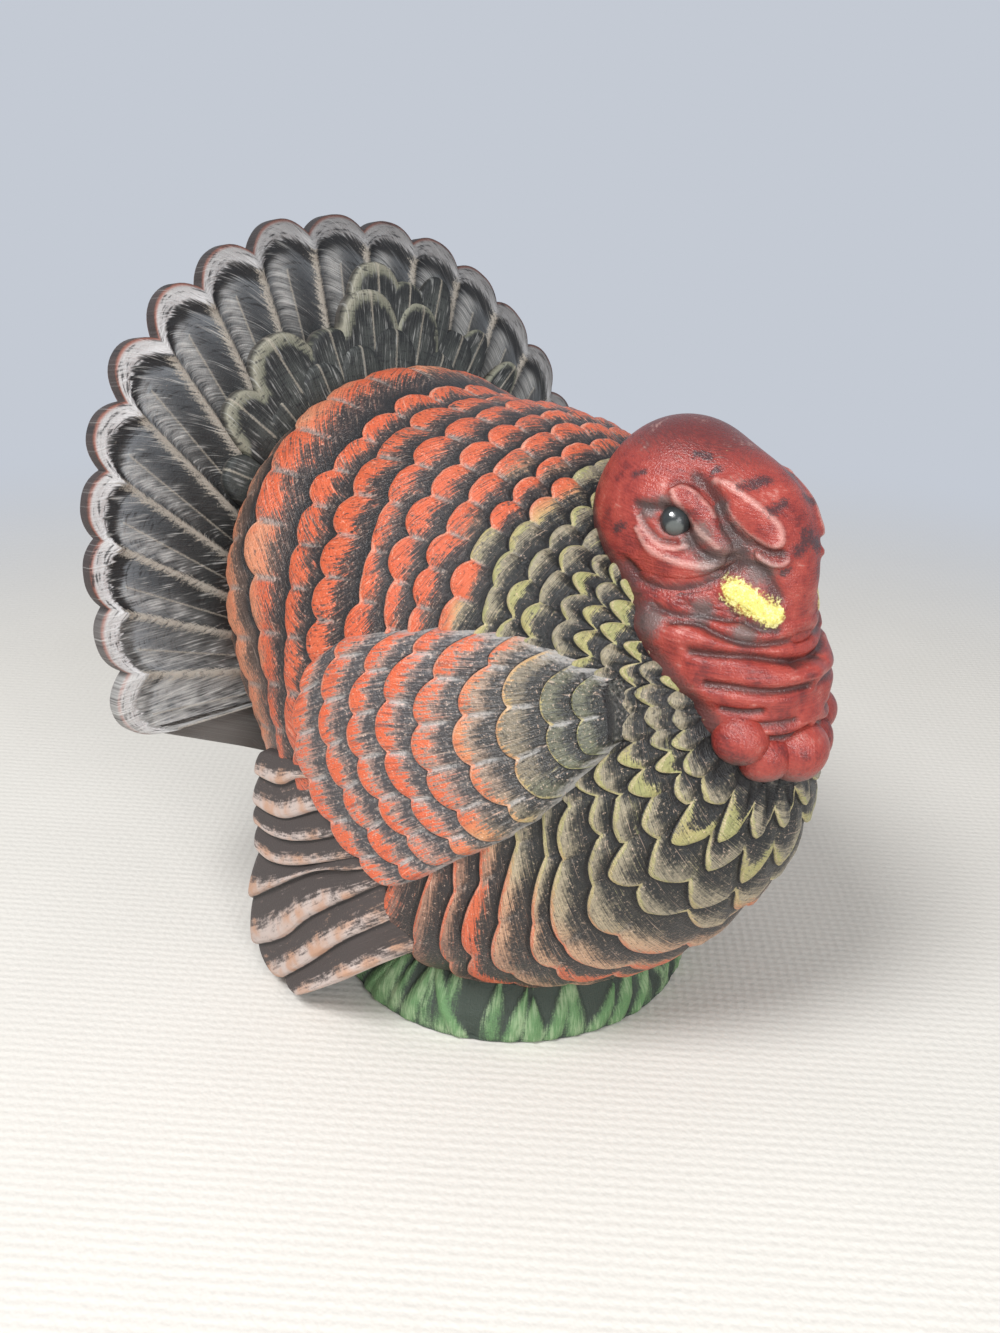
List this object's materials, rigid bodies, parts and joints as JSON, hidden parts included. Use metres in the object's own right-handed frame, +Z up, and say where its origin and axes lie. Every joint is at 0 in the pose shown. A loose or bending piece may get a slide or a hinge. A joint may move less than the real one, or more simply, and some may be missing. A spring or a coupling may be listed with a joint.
{
  "type": "turkey figure",
  "caption": "Ceramic tom turkey figure with a spread tail fan, drooped wings and a red wattled head, sitting on a low grass mound; stands free as a seasonal table decoration.",
  "frame": {"origin": "centre of the flat underside of the grass mound, on the table", "axes": "+Z up, +X toward the head and breast, +Y toward the bird's own left"},
  "size_m": [0.2177, 0.2153, 0.2342],
  "materials": {
    "body_plumage": "satin, dry brushed orange over charcoal",
    "grass": "satin green over black",
    "tail_feathers": "satin, silver brushed over charcoal",
    "covert_feathers": "satin, cream edges over dark slate green",
    "wing_feathers": "satin, dry brushed orange over charcoal",
    "primary_feathers": "satin, tan brushed over brown grey",
    "head_skin": "satin red",
    "eye": "satin grey and black",
    "snood_skin": "satin maroon red",
    "beak": "satin yellow over grey",
    "neck_skin": "satin red with grey creases",
    "caruncle_skin": "satin red"
  },
  "bodies": {
    "root": {"body_shell": "body_plumage", "grass_mound": "grass", "tail_fan": "tail_feathers", "tail_coverts": "covert_feathers", "wing_right": "wing_feathers", "primaries_right": "primary_feathers", "wing_left": "wing_feathers", "primaries_left": "primary_feathers", "head": "head_skin", "eye_right": "eye", "eye_left": "eye", "snood": "snood_skin", "beak": "beak", "neck_wattle": "neck_skin", "caruncle_right_upper": "caruncle_skin", "caruncle_left_upper": "caruncle_skin", "caruncle_right": "caruncle_skin", "caruncle_left": "caruncle_skin", "caruncle_front": "caruncle_skin"}
  },
  "joints": []
}
